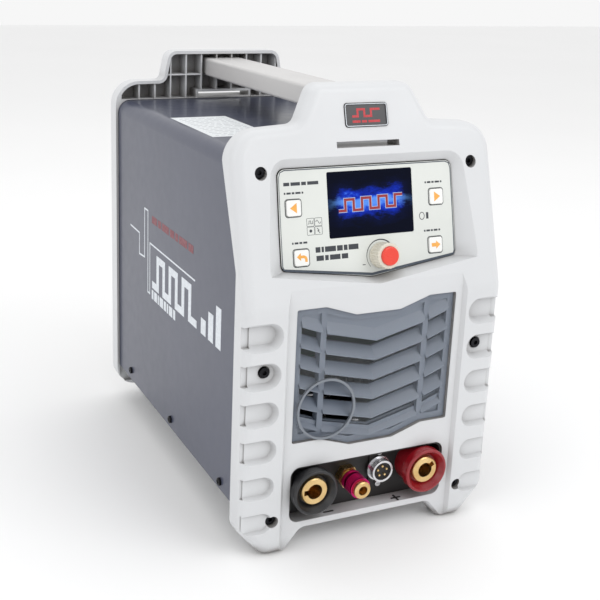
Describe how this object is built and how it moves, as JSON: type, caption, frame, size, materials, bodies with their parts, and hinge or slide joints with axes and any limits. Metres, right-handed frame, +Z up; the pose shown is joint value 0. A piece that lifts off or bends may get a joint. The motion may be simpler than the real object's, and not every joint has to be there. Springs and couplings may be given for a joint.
{
  "type": "tig welding machine",
  "caption": "Portable TIG welding power source with moulded end bezels, carrying bar, leaning control panel, louvred grille and outlet recess.",
  "frame": {"origin": "middle of the bounding box's bottom face, at the plane that the feet stand on", "axes": "+X right seen from the front, -Y out of the front, +Z up"},
  "size_m": [0.232, 0.394, 0.371],
  "materials": {
    "bezel_plastic": "satin moulded",
    "cover_paint": "fine powder coat",
    "tray_steel": "zinc plated",
    "black_screw": "black oxide",
    "steel_screw": "plated",
    "rubber": "matt",
    "bar_plastic": "satin paint",
    "label_paper": "printed film",
    "badge": "gloss",
    "overlay_film": "matt film",
    "black_plastic": "moulded",
    "screen_glass": "gloss",
    "module_metal": "stamped",
    "circuit_board": "solder mask",
    "key_plastic": "moulded",
    "knob_plastic": "moulded",
    "knob_red": "gloss",
    "grille_plastic": "satin moulded",
    "clear_sheet": "clear",
    "ring_plastic": "gloss",
    "black_insulator": "moulded",
    "red_insulator": "moulded",
    "brass": "turned",
    "sleeve_magenta": "anodised",
    "chrome": "bright",
    "rocker_red": "gloss",
    "heatsink_aluminium": "extruded",
    "capacitor_sleeve": "sleeved",
    "ferrite": "matt",
    "winding_tape": "taped",
    "valve_brass": "cast"
  },
  "bodies": {
    "root": {"front_bezel": "bezel_plastic", "rear_bezel": "bezel_plastic", "cover": "cover_paint", "base_tray": "tray_steel", "cover_screws": "black_screw", "front_bezel_screws": "black_screw", "rear_bezel_screws": "black_screw", "rear_feet": "rubber", "handle_bar": "bar_plastic", "handle_screws": "steel_screw", "rating_label": "label_paper", "badge_plate": "badge", "panel_overlay": "overlay_film", "panel_carrier": "black_plastic", "lcd_screen": "screen_glass", "lcd_module": "module_metal", "control_pcb": "circuit_board", "key_switches": "black_plastic", "encoder": "module_metal", "louvre_grille": "grille_plastic", "grille_shield": "clear_sheet", "shield_ring": "ring_plastic", "socket_panel": "black_plastic", "negative_socket_housing": "black_insulator", "negative_socket_contact": "brass", "positive_socket_housing": "red_insulator", "positive_socket_contact": "brass", "gas_coupler_body": "brass", "control_connector_shell": "chrome", "control_connector_insert": "black_plastic", "control_connector_pins": "brass", "control_connector_screws": "steel_screw", "polarity_marks": "black_plastic", "rear_plate": "cover_paint", "fan_frame": "black_plastic", "fan_guard": "chrome", "fan_screws": "steel_screw", "power_switch_body": "black_plastic", "cable_gland": "black_plastic", "gas_inlet": "brass", "earth_stud": "brass", "heatsinks": "heatsink_aluminium", "power_transistors": "black_plastic", "main_pcb": "circuit_board", "board_posts": "steel_screw", "capacitors": "capacitor_sleeve", "transformer_core": "ferrite", "transformer_winding": "winding_tape", "output_choke": "winding_tape", "gas_valve": "valve_brass", "gas_hose": "rubber"},
    "knob": {"knob_body": "knob_plastic", "knob_cap": "knob_red"},
    "fan": {"fan_rotor": "black_plastic"},
    "rocker": {"power_switch_rocker": "rocker_red"},
    "sleeve": {"gas_coupler_sleeve": "sleeve_magenta"},
    "key_left": {"keycap_left": "key_plastic"},
    "key_return": {"keycap_return": "key_plastic"},
    "key_right": {"keycap_right": "key_plastic"},
    "key_execute": {"keycap_execute": "key_plastic"}
  },
  "joints": [
    {"name": "left_key_press", "type": "slide", "parent": "root", "child": "key_left", "axis": [0, 0.9758, -0.2186], "range_m": [0, 0.0012], "stiffness_N_per_m": 800},
    {"name": "return_key_press", "type": "slide", "parent": "root", "child": "key_return", "axis": [0, 0.9758, -0.2186], "range_m": [0, 0.0012], "stiffness_N_per_m": 800},
    {"name": "right_key_press", "type": "slide", "parent": "root", "child": "key_right", "axis": [0, 0.9758, -0.2186], "range_m": [0, 0.0012], "stiffness_N_per_m": 800},
    {"name": "execute_key_press", "type": "slide", "parent": "root", "child": "key_execute", "axis": [0, 0.9758, -0.2186], "range_m": [0, 0.0012], "stiffness_N_per_m": 800},
    {"name": "knob_turn", "type": "hinge", "parent": "root", "child": "knob", "pos_m": [0.0083, -0.17109, 0.2401], "axis": [0, -0.9758, 0.2186], "continuous": true},
    {"name": "fan_spin", "type": "hinge", "parent": "root", "child": "fan", "pos_m": [0, 0.149, 0.21], "axis": [0, 1, 0], "continuous": true},
    {"name": "power_rock", "type": "hinge", "parent": "root", "child": "rocker", "pos_m": [-0.062, 0.1595, 0.109], "axis": [1, 0, 0], "range_deg": [0, 18]},
    {"name": "sleeve_release", "type": "slide", "parent": "root", "child": "sleeve", "axis": [0, 1, 0], "range_m": [0, 0.0025], "stiffness_N_per_m": 1500}
  ]
}
